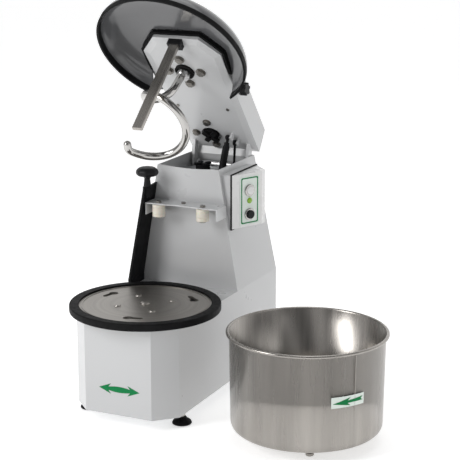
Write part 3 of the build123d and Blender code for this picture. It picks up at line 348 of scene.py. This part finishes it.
def make_finishes():
    """One material for each finish, kept by name."""
    colours = bpy.context.scene.mixer_colours

    f = Finish("powder_coat", colours.paint, 0.32, Coat_Weight=0.35, Coat_Roughness=0.12)
    f.tone(f.noise(f.place, 3.5, 3), 0.018)
    f.sheen(f.noise(f.place, 14, 4), 0.05)
    f.bump(f.noise(f.place, 900, 2), 0.00004, 0.5)
    MATERIALS["white_paint"] = f.material

    f = Finish("black_texture_coat", (0.009, 0.009, 0.01), 0.55, Specular_IOR_Level=0.12)
    f.tone(f.noise(f.place, 25, 4), 0.18)
    f.sheen(f.noise(f.place, 40, 4), 0.08)
    f.bump(f.noise(f.place, 1400, 3), 0.00012, 0.6)
    MATERIALS["dark_paint"] = f.material

    f = Finish("grey_hammered_coat", (0.4, 0.41, 0.42), 0.4, 0.2)
    f.tone(f.noise(f.place, 60, 4), 0.1)
    f.sheen(f.noise(f.place, 90, 3), 0.08)
    f.bump(f.noise(f.place, 350, 2), 0.0002, 0.5)
    MATERIALS["grey_paint"] = f.material

    f = Finish("zinc_plate", (0.5, 0.49, 0.46), 0.3, 1.0)
    f.tone(f.noise(f.place, 120, 5), 0.16)
    f.sheen(f.noise(f.place, 200, 4), 0.1)
    f.bump(f.noise(f.place, 900, 3), 0.00006, 0.5)
    MATERIALS["zinc"] = f.material

    f = Finish("brushed_stainless", colours.steel, 0.24, 1.0, Anisotropic=0.4)
    f.tone(f.noise(f.stretched((30, 30, 3800)), 1.0, 4), 0.05)
    f.sheen(f.noise(f.stretched((40, 40, 4600)), 1.0, 4), 0.05)
    f.bump(f.noise(f.stretched((60, 60, 6000)), 1.0, 3), 0.000006, 0.4)
    MATERIALS["stainless"] = f.material

    f = Finish("bowl_steel", [c * 1.05 for c in colours.steel], 0.26, 1.0, Anisotropic=0.3)
    # Colour lighter and darker in upright bands round the bowl: painted reflection streaks.
    f.tone(f.noise(f.stretched((14, 14, 0.8), (BOWL.x, BOWL.y, 0)), 1.0, 6, 0.6), 0.2)
    f.sheen(f.noise(f.stretched((50, 50, 3)), 1.0, 5), 0.05)
    f.bump(f.noise(f.stretched((60, 60, 6000)), 1.0, 3), 0.000006, 0.4)
    MATERIALS["bowl_steel"] = f.material

    f = Finish("satin_bar", [c * 1.35 for c in colours.steel], 0.3, 1.0)
    f.tone(f.noise(f.stretched((1500, 1500, 8), turn=(LIFT, 0, 0)), 1.0, 4), 0.06)
    f.sheen(f.noise(f.stretched((2200, 2200, 12), turn=(LIFT, 0, 0)), 1.0, 4), 0.06)
    f.bump(f.noise(f.stretched((3000, 3000, 16), turn=(LIFT, 0, 0)), 1.0, 3), 0.000006, 0.4)
    MATERIALS["satin_bar"] = f.material

    f = Finish("oiled_bolts", (0.2, 0.19, 0.175), 0.38, 1.0)
    f.tone(f.noise(f.place, 140, 5), 0.3)
    f.sheen(f.noise(f.place, 200, 4), 0.1)
    f.bump(f.noise(f.place, 900, 3), 0.00006, 0.5)
    MATERIALS["oiled_bolts"] = f.material

    f = Finish("turned_plate_steel", colours.steel, 0.4, 1.0)
    fine = f.rings((PLATE.x, PLATE.y, 0), 900)
    wide = f.rings((PLATE.x, PLATE.y, 0), 60)
    f.tone(wide, 0.1)
    f.sheen(fine, 0.08)
    f.bump(fine, 0.00005, 0.6)
    MATERIALS["plate_steel"] = f.material

    f = Finish("machined_steel", (0.46, 0.46, 0.46), 0.3, 1.0)
    f.tone(f.noise(f.stretched((20, 20, 900)), 1.0, 4), 0.1)
    f.sheen(f.noise(f.stretched((30, 30, 1500)), 1.0, 4), 0.08)
    f.bump(f.noise(f.stretched((40, 40, 3000)), 1.0, 3), 0.00003, 0.5)
    MATERIALS["turned_steel"] = f.material

    f = Finish("polished_chrome", (0.5, 0.49, 0.475), 0.08, 1.0)
    f.tone(f.noise(f.place, 18, 3), 0.04)
    f.sheen(f.noise(f.place, 160, 5), 0.045)
    f.bump(f.noise(f.place, 240, 2), 0.00002, 0.25)
    MATERIALS["chrome"] = f.material

    f = Finish("cast_alloy", (0.5, 0.51, 0.52), 0.45, 0.9)
    f.tone(f.noise(f.place, 80, 5), 0.12)
    f.sheen(f.noise(f.place, 120, 4), 0.1)
    f.bump(f.noise(f.place, 700, 4), 0.00025, 0.6)
    MATERIALS["cast_alloy"] = f.material

    f = Finish("cast_iron", (0.1, 0.1, 0.105), 0.55, 0.8)
    f.tone(f.noise(f.place, 90, 5), 0.25)
    f.sheen(f.noise(f.place, 150, 4), 0.1)
    f.bump(f.noise(f.place, 500, 5), 0.0003, 0.7)
    MATERIALS["cast_iron"] = f.material

    f = Finish("black_rubber", colours.rubber, 0.6, Specular_IOR_Level=0.12)
    f.tone(f.noise(f.place, 45, 5), 0.25)
    f.sheen(f.noise(f.place, 70, 5), 0.09)
    f.bump(f.noise(f.place, 1600, 3), 0.00008, 0.5)
    MATERIALS["rubber"] = f.material

    f = Finish("smoked_plastic", colours.lid, 0.2, Coat_Weight=0.5, Coat_Roughness=0.06)
    f.tone(f.noise(f.place, 6, 3), 0.06)
    f.sheen(f.noise(f.place, 35, 5), 0.05)
    f.bump(f.noise(f.place, 22, 2), 0.0003, 0.2)
    MATERIALS["smoked"] = f.material

    f = Finish("turned_nylon", colours.nylon, 0.42, Subsurface_Weight=0.12, Subsurface_Scale=0.004)
    f.tone(f.noise(f.stretched((30, 30, 900)), 1.0, 4), 0.05)
    f.sheen(f.noise(f.place, 120, 4), 0.06)
    f.bump(f.noise(f.stretched((20, 20, 2200)), 1.0, 3), 0.00006, 0.5)
    MATERIALS["nylon"] = f.material

    f = Finish("moulded_black", (0.009, 0.009, 0.01), 0.4, Specular_IOR_Level=0.2)
    f.tone(f.noise(f.place, 60, 4), 0.2)
    f.sheen(f.noise(f.place, 90, 4), 0.08)
    f.bump(f.noise(f.place, 1800, 2), 0.0001, 0.5)
    MATERIALS["black_plastic"] = f.material

    f = Finish("moulded_white", (0.82, 0.82, 0.815), 0.28, Coat_Weight=0.2, Coat_Roughness=0.1)
    f.tone(f.noise(f.place, 9, 3), 0.015)
    f.sheen(f.noise(f.place, 30, 4), 0.05)
    f.bump(f.noise(f.place, 1500, 2), 0.00005, 0.4)
    MATERIALS["white_plastic"] = f.material

    f = Finish("label_film", (0.78, 0.86, 0.8), 0.25, Coat_Weight=0.4, Coat_Roughness=0.08)
    f.tone(f.noise(f.place, 40, 3), 0.02)
    f.sheen(f.noise(f.place, 60, 4), 0.05)
    f.bump(f.noise(f.place, 500, 2), 0.00003, 0.3)
    MATERIALS["label"] = f.material

    f = Finish("green_print", colours.green, 0.5, Specular_IOR_Level=0.2)
    f.tone(f.noise(f.place, 160, 4), 0.07)
    f.sheen(f.noise(f.place, 90, 4), 0.05)
    f.bump(f.noise(f.place, 900, 2), 0.00003, 0.3)
    MATERIALS["green"] = f.material

    f = Finish("lamp_lens", (0.22, 0.42, 0.03), 0.15, Coat_Weight=0.6, Coat_Roughness=0.04,
               Emission_Strength=0.12, Emission_Color=(0.35, 0.6, 0.05, 1))
    f.tone(f.noise(f.place, 260, 3), 0.2)
    f.sheen(f.noise(f.place, 120, 3), 0.04)
    f.bump(f.rings((0, middle("pilot_lamp").y, 0), 900), 0.00012, 0.4)
    MATERIALS["lamp"] = f.material


# ---------------------------------------------------------------- pieces
class MIXER_OT_finishes(bpy.types.Operator):
    """Gives every piece of the frame the finish of its material slot"""
    bl_idname = "mixer.finishes"
    bl_label = "Frame finishes"

    def execute(self, context):
        make_finishes()
        slots = {part["node"]: part["material_slot"] for part in frame["record"]["subparts"]}
        special = {"turntable_plate": "plate_steel", "turntable_bolts": "plate_steel",
                   "breaker_bar": "satin_bar", "head_bolts": "oiled_bolts", "roller_pins": "oiled_bolts"}
        for name, node in frame["nodes"].items():
            finish = special.get(name, slots[name])
            node.data.materials.clear()
            node.data.materials.append(MATERIALS[finish])
        return {"FINISHED"}


class MIXER_OT_bowl(bpy.types.Operator):
    """Steel bowl: a drawn floor with a rounded corner, a straight wall and a rolled bead, with its weld"""
    bl_idname = "mixer.bowl"
    bl_label = "Bowl"

    def execute(self, context):
        sizes = context.scene.mixer_sizes
        low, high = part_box("bowl")
        bead = sizes.bead
        rim = high.z - bead
        wall = sizes.bowl_wall
        outer = np.array([(0, low.z), (BOWL_FOOT, low.z), (BOWL_TOP, rim)])
        inner = outer + np.array([(0, wall), (-wall, wall), (-wall, 0)])
        outside = rounded(outer, 0.024, 12)
        inside = rounded(inner, 0.0228, 12)
        angle = np.linspace(radians(-150), radians(178), 22)
        roll = np.stack([BOWL_BEAD + bead * np.cos(angle), rim + bead * np.sin(angle)], -1)
        lip = np.array([[BOWL_TOP - wall, rim]])
        profile = np.concatenate([outside[:-1], roll, lip, inside[::-1][1:]])
        spin = turned(profile, (BOWL.x, BOWL.y), 180)
        bowl = grid_piece("mixing_bowl", spin, "mixing_bowl", MATERIALS["bowl_steel"], close_v=False)
        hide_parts("bowl")

        across = np.linspace(-1, 1, 7)
        up = np.linspace(0, 1, 40)[:, None]
        angle = radians(-31.5) + across * 0.0045
        raise_by = 0.0004 * (1 - across ** 2) * np.minimum(1, 8 * np.minimum(up, 1 - up) + 0.02)
        z = low.z + 0.026 + up * (rim - 0.008 - low.z - 0.026)
        wall_at = BOWL_FOOT + BOWL_FLARE * (z - low.z) / (rim - low.z)
        sides = [np.stack([BOWL.x + r * np.cos(angle), BOWL.y + r * np.sin(angle), z + 0 * r * angle], -1)
                 for r in (wall_at - 0.0001 + raise_by, wall_at - 0.0008)]
        strip = shut(np.concatenate([sides[0], sides[1][:, ::-1]], 1))
        weld = grid_piece("bowl_weld_outside", strip, "mixing_bowl", MATERIALS["bowl_steel"], close_u=False)
        return {"FINISHED"}


class MIXER_OT_turntable_ring(bpy.types.Operator):
    """Rubber ring round the turntable, with a rounded edge"""
    bl_idname = "mixer.turntable_ring"
    bl_label = "Turntable ring"

    def execute(self, context):
        low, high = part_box("turntable_ring")
        top = high.z
        corners = [(RING_INSIDE, top - RING_LIP), (RING_INSIDE, top), (RING_OUTSIDE, top),
                   (RING_OUTSIDE, low.z), (RING_SKIRT, low.z), (RING_SKIRT, top - RING_LIP)]
        profile = rounded(corners, 0.004, 7, closed=True)
        piece = grid_piece("rubber_ring", turned(profile, (PLATE.x, PLATE.y), 180), "turntable",
                           MATERIALS["rubber"])
        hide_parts("turntable_ring")
        return {"FINISHED"}


class MIXER_OT_spiral(bpy.types.Operator):
    """Kneading spiral: a round bar along a shank, a bend and a falling helix with an upturned tip"""
    bl_idname = "mixer.spiral"
    bl_label = "Spiral"

    def execute(self, context):
        turn = np.linspace(184, 530, 60)
        fall = (turn - 184) / 346
        helix = np.stack([SPIRAL_RADIUS * np.cos(np.radians(turn)), SPIRAL_RADIUS * np.sin(np.radians(turn)),
                          SPIRAL_TOP - SPIRAL_DROP * fall], -1)
        shank = np.array([(-5, 0, 603.5), (-6.3, 0, 592), (-7.8, 0, 580), (-9.4, 0, 568), (-12, 0, 556),
                          (-16.5, 0, 545), (-24, 0.2, 535.5), (-36, 0.6, 527), (-50, 1, 521.5),
                          (-62, 0.4, 518)])
        end = np.radians(np.array([535.0, 541.0]))
        tip = np.stack([73.6 * np.cos(end), 73.6 * np.sin(end), np.array([353.5, 360.0])], -1)
        knots = np.concatenate([shank, helix, tip])
        step = np.concatenate([[0], np.cumsum(np.linalg.norm(np.diff(knots, axis=0), axis=1))])
        even = np.linspace(0, step[-1], 420)
        path = np.stack([np.interp(even, step, knots[:, k]) for k in range(3)], -1)
        window = np.hanning(27)[1:-1]
        window /= window.sum()
        padded = np.concatenate([2 * path[:1] - path[12:0:-1], path, 2 * path[-1:] - path[-2:-14:-1]])
        path = np.stack([np.convolve(padded[:, k], window, "valid") for k in range(3)], -1)
        bearing = np.unwrap(np.arctan2(path[:, 1], path[:, 0]))
        spokes = np.stack([np.cos(bearing), np.sin(bearing), 0 * bearing], -1)
        grid = round_tube(path, 1000 * context.scene.mixer_sizes.spiral_bar, spokes)
        grid = lifted(grid + np.array([-12.0, 117.0, 0.0]))
        piece = grid_piece("kneading_spiral", grid, "spiral", MATERIALS["chrome"], close_u=False)
        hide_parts("spiral_tool")
        return {"FINISHED"}


def head_edge(angle, grow):
    """Distance from the turntable's axis to the head's outline, grown by a margin, along each angle:
    the nearest crossing of the ray with the outline's sides."""
    nose, half, tail = 68 + grow * 0.4, 117 + grow, 108 + grow
    first, corner, last = -12 - grow, -12 - grow + 59 + grow * 0.6, 608
    points = np.array([(-nose, first), (nose, first), (half, corner), (tail, last), (-tail, last),
                       (-half, corner)])
    start = points[None]
    side = (np.roll(points, -1, 0) - points)[None]
    ray = np.stack([np.cos(angle), np.sin(angle)], -1)[:, None]
    cross = ray[..., 0] * side[..., 1] - ray[..., 1] * side[..., 0]
    cross = np.where(np.abs(cross) < 1e-9, 1e-9, cross)
    far = (start[..., 0] * side[..., 1] - start[..., 1] * side[..., 0]) / cross
    share = (start[..., 0] * ray[..., 1] - start[..., 1] * ray[..., 0]) / cross
    hit = np.where((far > 0) & (share >= -1e-6) & (share <= 1 + 1e-6), far, 1e6)
    return hit.min(1)


class MIXER_OT_lid(bpy.types.Operator):
    """Smoked lid: a dish from the head's outline to a round edge, and a tab on each side"""
    bl_idname = "mixer.lid"
    bl_label = "Lid"

    def execute(self, context):
        rim = LID_RADIUS
        sheet = 1000 * context.scene.mixer_sizes.lid_sheet
        angle = np.linspace(radians(-234.2), radians(54.2), 300)
        start = np.minimum(head_edge(angle, 8.0), rim - 0.05)[:, None]
        share = np.sin(np.linspace(0, pi / 2, 34))[None]

        def skin(drop):
            r = start + (rim - drop - start) * share
            r = np.maximum(r, start - 0.01)
            flat = np.minimum(r + drop, rim + 0.2) ** 5 / (rim + 0.21) ** 5
            z = LID_EDGE + LID_RISE * (1 - flat) ** 0.45 - drop
            return np.stack([r * np.cos(angle)[:, None], r * np.sin(angle)[:, None], z], -1)

        grid = lifted(shut(np.concatenate([skin(0.0), skin(sheet)[:, ::-1]], 1)))
        lid = grid_piece("dished_lid", grid, "head", MATERIALS["smoked"], close_u=False)
        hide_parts("lid_shell")
        for side, name in ((-1, "left"), (1, "right")):
            outline = rounded([(130, 635), (221, 635), (221, 663.5), (130, 663.5)], 12, 8, closed=True)
            flat = plate(outline, 119.4, 123.8, 0.8)
            grid = lifted(np.stack([side * flat[..., 2], flat[..., 0], flat[..., 1]], -1))
            tab = grid_piece("lid_tab_" + name, grid, "head", MATERIALS["smoked"], close_v=False)
        return {"FINISHED"}


class MIXER_OT_rest_knob(bpy.types.Operator):
    """Mushroom knob on its tapered screw, with a soft edge"""
    bl_idname = "mixer.rest_knob"
    bl_label = "Rest knob"

    def execute(self, context):
        low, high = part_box("rest_knob")
        z = low.z
        corners = [(0, z), (0.0059, z), (0.0059, z + 0.0212), (0.011, z + 0.0212), (0.008, z + 0.045),
                   (0.012, z + 0.051), (0.028, z + 0.054), (0.032, z + 0.060), (0.031, z + 0.068),
                   (0.024, z + 0.0757), (0.010, high.z - 0.0003), (0, high.z - 0.0003)]
        spot = middle("rest_knob")
        grid = turned(rounded(corners, 0.005, 6), (spot.x, spot.y), 96)
        lobe = 1 - 0.035 * np.clip((grid[..., 2:3] - z - 0.052) / 0.004, 0, 1) * (
            0.5 + 0.5 * np.cos(8 * np.linspace(0, 2 * pi, 96, endpoint=False)))[:, None, None]
        centre = np.array([spot.x, spot.y])
        grid[..., :2] = centre + (grid[..., :2] - centre) * lobe
        piece = grid_piece("mushroom_knob", grid, "rest_stop", MATERIALS["black_plastic"], close_v=False)
        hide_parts("rest_knob")
        return {"FINISHED"}


class MIXER_OT_rollers(bpy.types.Operator):
    """Two nylon rollers with chamfered ends, shallow grooves and a bored centre"""
    bl_idname = "mixer.rollers"
    bl_label = "Rollers"

    def execute(self, context):
        for name, body in (("left", "roller_l"), ("right", "roller_r")):
            node = "roller_" + name
            low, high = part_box(node)
            corners = [(ROLLER_BORE, low.z), (ROLLER_FACE, low.z)]
            for start in (0.008, 0.025):
                corners += [(ROLLER_FACE, low.z + start), (ROLLER_GROOVE, low.z + (start + 0.0005)),
                            (ROLLER_GROOVE, low.z + (start + 0.0015)), (ROLLER_FACE, low.z + (start + 0.002))]
            corners += [(ROLLER_FACE, high.z), (ROLLER_BORE, high.z)]
            spot = middle(node)
            grid = turned(rounded(corners, 0.0012, 4, closed=True), (spot.x, spot.y), 72)
            piece = grid_piece("nylon_roller_" + name, grid, body, MATERIALS["nylon"])
            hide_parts(node)
        return {"FINISHED"}


class MIXER_OT_feet(bpy.types.Operator):
    """Four conical rubber feet with a worn lower edge"""
    bl_idname = "mixer.feet"
    bl_label = "Feet"

    def execute(self, context):
        spots = [(-140, -64), (140, -64), (-136, 484), (136, 484)]
        corners = [(0, 0), (25, 0), (27, 3), (24, 9), (13, 16), (13, 19), (0, 19)]
        profile = rounded(corners, 2.5, 5)
        for k, spot in enumerate(spots):
            grid = placed(turned(profile, spot, 72))
            piece = grid_piece("rubber_foot_%d" % (k + 1), grid, "machine", MATERIALS["rubber"],
                               close_v=False)
            if k == 0:
                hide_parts("rubber_feet")
        return {"FINISHED"}


class MIXER_OT_marks(bpy.types.Operator):
    """Printed marks: green border of the switch label, a bar and a ring on the buttons"""
    bl_idname = "mixer.marks"
    bl_label = "Switch marks"

    def execute(self, context):
        thick = context.scene.mixer_sizes.mark
        reach = np.array([0.0305, 0.0655])
        outer = rounded(np.array([(-1, -1), (1, -1), (1, 1), (-1, 1)]) * reach, 0.005, 8, closed=True)
        inner = outer * (reach - 0.0036) / reach
        ring = np.stack([np.c_[p, np.full(len(p), out)] for p, out in
                         ((outer, 0), (outer, thick), (inner, thick), (inner, 0))], 1)
        face = on_label(LABEL, ring[..., 0], 0.0004 + ring[..., 2], ring[..., 1])
        grid_piece("label_border", face, "machine", MATERIALS["green"], smooth=False)
        bar = rounded([(-0.0013, -0.0045), (0.0013, -0.0045), (0.0013, 0.0045), (-0.0013, 0.0045)], 0.0008, 4,
                      closed=True)
        flat = plate(bar, 0, thick, thick / 4)
        grid = on_label(middle("start_button"), flat[..., 0], 0.00898 + flat[..., 2], flat[..., 1])
        mark = grid_piece("start_mark", grid, "start", MATERIALS["black_plastic"], close_v=False,
                          smooth=False)
        section = rounded([(0.0042, 0), (0.0056, 0), (0.0056, thick), (0.0042, thick)], thick / 4, 3,
                          closed=True)
        spun = turned(section, (0, 0), 64)
        grid = on_label(middle("stop_button"), spun[..., 0], 0.01048 + spun[..., 2], spun[..., 1])
        grid_piece("stop_mark", grid, "stop", MATERIALS["white_plastic"])
        return {"FINISHED"}


def arrow_grid(length, half, head, waist, belly, barb, double, thick):
    """Closed thin arrow as (along, height, lift). Heights are half * v at the head's base and the barbs lean back
    by barb * max(0, (|v| - k) / (1 - k)), where k = waist / half; a double arrow's shaft swells to belly as a half
    sine, a single arrow's shaft widens evenly to belly, and a single arrow's tail is cut to a swallow tail."""
    k = waist / half
    v = np.array([-1, -(1 + k) / 2, -k, -k / 2, 0, k / 2, k, (1 + k) / 2, 1])
    lean = barb * np.maximum(0, (np.abs(v) - k) / (1 - k))
    share = np.linspace(0, 1, 12)[:, None]
    first = np.stack([head * share + lean * share, half * v * share], -1)
    run = np.linspace(0, 1, 40)[:, None]
    last = length - head if double else length
    swell = waist + (belly - waist) * (np.sin(pi * run) if double else run)
    cut = 0 if double else 0.75 * barb * (1 - np.abs(v)) * np.clip(run * 4 - 3, 0, 1)
    shaft = np.stack([head + 0.01 + (last - head - 0.02) * run - cut + 0 * v, swell * v], -1)
    parts = [first, shaft]
    if double:
        parts.append(np.stack([length - first[::-1, :, 0], first[::-1, :, 1]], -1))
    flat = np.concatenate(parts)
    front = np.concatenate([flat, np.full(flat.shape[:2] + (1,), thick)], -1)
    back = front * np.array([1, 1, 0])
    return np.concatenate([front, back[:, ::-1]], 1)


def on_bowl(along, up, out):
    """Points in metres on the bowl's outside wall: millimetres round it, up it and out of it."""
    angle = radians(-50.5) + along / BOWL_ROUND
    r = 1000 * (BOWL_FOOT + BOWL_FLARE * (up - BOWL_UNDER) / BOWL_TALL) + out
    return np.stack([1000 * BOWL.x + r * np.cos(angle), 1000 * BOWL.y + r * np.sin(angle), up], -1) / 1000


class MIXER_OT_arrows(bpy.types.Operator):
    """Direction arrows: a double one on the nose of the base and a single one on the bowl's white film"""
    bl_idname = "mixer.arrows"
    bl_label = "Direction arrows"

    def execute(self, context):
        thick = 1000 * context.scene.mixer_sizes.mark
        grid = arrow_grid(length=121, half=14.5, head=27, waist=4.6, belly=8.2, barb=9, double=True,
                          thick=thick)
        face = np.stack([grid[..., 0] - 57, ARROW_BACK - grid[..., 2], 103 + grid[..., 1]], -1)
        nose = grid_piece("nose_arrow", placed(face), "machine", MATERIALS["green"], close_u=False,
                          smooth=False)
        grid = arrow_grid(length=88, half=10.5, head=40, waist=3.2, belly=5.2, barb=9, double=False,
                          thick=thick)
        shape = on_bowl(grid[..., 0] + 4, 157 + grid[..., 0] * 0.05 + grid[..., 1], grid[..., 2] + 0.2)
        mark = grid_piece("bowl_arrow", shape, "mixing_bowl", MATERIALS["green"], close_u=False, smooth=False)
        x, y = np.meshgrid(np.linspace(0, 96, 40), np.linspace(-14.5, 14.5, 5), indexing="ij")
        film = np.concatenate([np.stack([x, y, 0 * x + 0.18], -1), np.stack([x, y, 0 * x], -1)[:, ::-1]], 1)
        shape = shut(on_bowl(film[..., 0], 160 + film[..., 1], film[..., 2] + 0.03))
        film = grid_piece("bowl_film", shape, "mixing_bowl", MATERIALS["label"], close_u=False, smooth=False)
        return {"FINISHED"}


# ---------------------------------------------------------------- stage
def softbox(name, place, aim, size, power):
    """Rectangular area light that faces a point."""
    light = bpy.data.lights.new(name, "AREA")
    light.shape = "RECTANGLE"
    light.size, light.size_y = size
    light.energy = power
    lamp = bpy.data.objects.new(name, light)
    bpy.context.scene.collection.objects.link(lamp)
    lamp.location = place
    lamp.rotation_euler = (Vector(aim) - Vector(place)).to_track_quat("-Z", "Y").to_euler()


class MIXER_OT_stage(bpy.types.Operator):
    """Pale floor, soft studio light and the camera"""
    bl_idname = "mixer.stage"
    bl_label = "Stage"

    def execute(self, context):
        scene = context.scene
        finish = Finish("studio_floor", (0.88, 0.88, 0.88), 0.7, Emission_Color=(1, 1, 1, 1),
                        Emission_Strength=0.55)
        finish.tone(finish.noise(finish.place, 1.5, 2), 0.004)
        count = 13
        side = np.linspace(-30, 30, count)
        x, y = np.meshgrid(side, side, indexing="ij")
        mesh = bpy.data.meshes.new("floor")
        index = np.arange(count * count).reshape(count, count)
        quads = np.stack([index[:-1, :-1], index[1:, :-1], index[1:, 1:], index[:-1, 1:]], -1).reshape(-1, 4)
        mesh.from_pydata(np.stack([x, y, 0 * x - 0.0005], -1).reshape(-1, 3).tolist(), [], quads.tolist())
        mesh.materials.append(finish.material)
        floor = bpy.data.objects.new("floor", mesh)
        scene.collection.objects.link(floor)

        world = bpy.data.worlds.new("studio")
        scene.world = world
        world.use_nodes = True
        tree = world.node_tree
        place = tree.nodes.new("ShaderNodeTexCoord").outputs["Generated"]
        split = tree.nodes.new("ShaderNodeSeparateXYZ")
        tree.links.new(place, split.inputs[0])
        ramp = tree.nodes.new("ShaderNodeValToRGB")
        stops = ((0.0, 0.3), (0.12, 0.5), (0.2, 0.7), (0.27, 0.15), (0.4, 0.1), (0.47, 0.6), (0.53, 0.62),
                 (0.6, 0.1), (0.74, 0.12), (0.8, 0.5), (0.88, 0.14), (1.0, 0.1))
        for place_at, grey in stops:
            stop = ramp.color_ramp.elements.new(place_at)
            stop.color = (grey, grey, grey * 1.01, 1)
        ramp.color_ramp.elements.remove(ramp.color_ramp.elements[0])
        ramp.color_ramp.elements.remove(ramp.color_ramp.elements[-1])
        sideways = tree.nodes.new("ShaderNodeMapRange")
        sideways.inputs["From Min"].default_value = -1
        sideways.inputs["From Max"].default_value = 1
        tree.links.new(split.outputs["X"], sideways.inputs["Value"])
        tree.links.new(sideways.outputs["Result"], ramp.inputs["Fac"])
        behind = tree.nodes.new("ShaderNodeMapRange")
        behind.inputs["From Min"].default_value = 0.3
        behind.inputs["From Max"].default_value = 0.75
        tree.links.new(split.outputs["Y"], behind.inputs["Value"])
        blend = tree.nodes.new("ShaderNodeMix")
        blend.data_type = "RGBA"
        blend.inputs["B"].default_value = (1, 1, 1, 1)
        tree.links.new(behind.outputs["Result"], blend.inputs["Factor"])
        tree.links.new(ramp.outputs["Color"], blend.inputs["A"])
        tree.links.new(blend.outputs["Result"], tree.nodes["Background"].inputs["Color"])
        tree.nodes["Background"].inputs["Strength"].default_value = 1.0

        softbox("key", (-2.6, -3.2, 2.6), (0, 0, 0.45), (1.6, 2.4), 92)
        softbox("fill", (3.4, -1.2, 2.2), (0, 0, 0.4), (0.8, 2.6), 3)
        softbox("top", (0.2, 0.4, 3.8), (0, 0.1, 0.2), (2.4, 2.4), 22)

        camera = bpy.data.cameras.new("camera")
        camera.sensor_width = 36
        camera.lens = 36 * 1500 / 460
        camera.clip_end = 60
        view = bpy.data.objects.new("camera", camera)
        scene.collection.objects.link(view)
        eye = Vector(placed((1839.7, -3398.8, 1462.8)))
        aim = Vector(placed((250.8, 0.0, 525.8)))
        view.location = eye
        view.rotation_euler = (aim - eye).to_track_quat("-Z", "Y").to_euler()
        scene.camera = view
        scene.view_settings.view_transform = "Standard"
        return {"FINISHED"}


PIECES = (MIXER_OT_finishes, MIXER_OT_bowl, MIXER_OT_turntable_ring, MIXER_OT_spiral, MIXER_OT_lid,
          MIXER_OT_rest_knob, MIXER_OT_rollers, MIXER_OT_feet, MIXER_OT_marks, MIXER_OT_arrows,
          MIXER_OT_stage)


class MIXER_PT_pieces(bpy.types.Panel):
    """Lists the pieces that can be made"""
    bl_idname = "MIXER_PT_pieces"
    bl_label = "Dough mixer"
    bl_space_type = "VIEW_3D"
    bl_region_type = "UI"
    bl_category = "Mixer"

    def draw(self, context):
        for piece in PIECES:
            self.layout.operator(piece.bl_idname)
        for group in (context.scene.mixer_sizes, context.scene.mixer_colours):
            for key in group.__annotations__:
                self.layout.prop(group, key)


CLASSES = (MixerSizes, MixerColours) + PIECES + (MIXER_PT_pieces,)


def register():
    for item in CLASSES:
        bpy.utils.register_class(item)
    bpy.types.Scene.mixer_sizes = PointerProperty(type=MixerSizes)
    bpy.types.Scene.mixer_colours = PointerProperty(type=MixerColours)


def unregister():
    del bpy.types.Scene.mixer_colours
    del bpy.types.Scene.mixer_sizes
    for item in reversed(CLASSES):
        bpy.utils.unregister_class(item)


def main():
    """Makes every piece in order."""
    register()
    for piece in PIECES:
        group, name = piece.bl_idname.split(".")
        getattr(getattr(bpy.ops, group), name)()
    bpy.context.view_layer.update()


if __name__ == "__main__":
    main()
